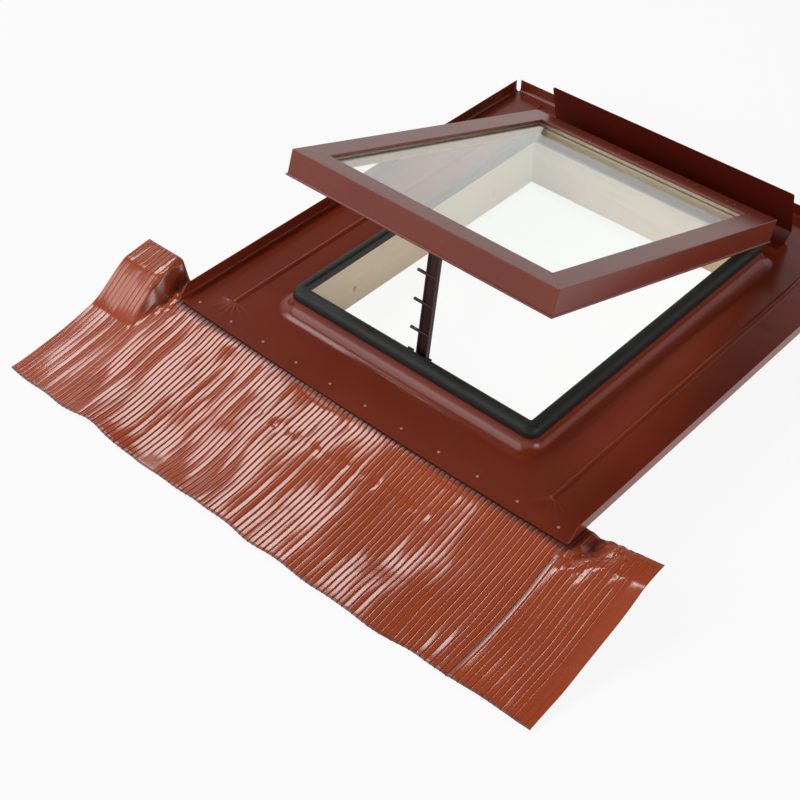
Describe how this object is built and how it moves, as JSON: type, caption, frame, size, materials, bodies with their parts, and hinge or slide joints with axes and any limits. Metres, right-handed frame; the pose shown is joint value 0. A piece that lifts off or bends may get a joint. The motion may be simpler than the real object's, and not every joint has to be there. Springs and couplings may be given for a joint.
{
  "type": "roof skylight",
  "caption": "Roof skylight with pine frame, pressed metal flashing collar, pleated apron and a top-hinged glazed sash held by a stay",
  "frame": {"origin": "centre of the clear opening, on the underside of the pine frame", "axes": "+X across the roof to the right, +Y up the slope towards the hinges, +Z out of the roof"},
  "size_m": [1.024, 1.1125, 0.3409],
  "materials": {
    "apron_orange_brown": "gloss coated thin sheet, pleated",
    "black_rubber": "satin",
    "bracket_dark": "gloss coated",
    "clear_glass": "polished",
    "collar_red_brown": "gloss coated sheet",
    "cover_brown": "gloss coated aluminium",
    "grey_seal": "matt",
    "guard_brown": "gloss coated sheet",
    "pine": "clear varnished pine",
    "rivets": "coated rivet heads",
    "spacer_metal": "plain",
    "stay_dark_brown": "gloss coated",
    "zinc_plated": "zinc plated"
  },
  "bodies": {
    "frame": {"apron_rivets": "rivets", "catch_screws": "zinc_plated", "flashing_collar": "collar_red_brown", "frame_board_back": "pine", "frame_board_front": "pine", "frame_board_left": "pine", "frame_board_right": "pine", "guard_rivets": "rivets", "hinge_frame_leaf_left": "zinc_plated", "hinge_frame_leaf_right": "zinc_plated", "hinge_frame_screws": "zinc_plated", "hinge_pins": "zinc_plated", "pleated_apron": "apron_orange_brown", "rear_guard": "guard_brown", "rim_gasket": "black_rubber", "stay_catch": "bracket_dark"},
    "sash": {"glazing_seal": "grey_seal", "glazing_tape": "grey_seal", "hinge_sash_leaf_left": "zinc_plated", "hinge_sash_leaf_right": "zinc_plated", "hinge_sash_screws": "zinc_plated", "inner_pane": "clear_glass", "outer_pane": "clear_glass", "pane_spacer": "spacer_metal", "sash_cover_front": "cover_brown", "sash_cover_left": "cover_brown", "sash_cover_rear": "cover_brown", "sash_cover_right": "cover_brown", "sash_rail_front": "pine", "sash_rail_left": "pine", "sash_rail_rear": "pine", "sash_rail_right": "pine", "stay_bracket": "bracket_dark", "stay_bracket_screws": "zinc_plated", "stay_pivot_pin": "zinc_plated"},
    "stay": {"stay_arm": "stay_dark_brown"}
  },
  "joints": [
    {"name": "sash_hinge", "type": "hinge", "parent": "frame", "child": "sash", "pos_m": [0, 0.3215, 0.114], "axis": [-1, 0, 0], "range_deg": [-19.2, 70.8]},
    {"name": "stay_hinge", "type": "hinge", "parent": "sash", "child": "stay", "pos_m": [0.012, -0.25169, 0.28396], "axis": [1, 0, 0], "range_deg": [0, 80]}
  ]
}
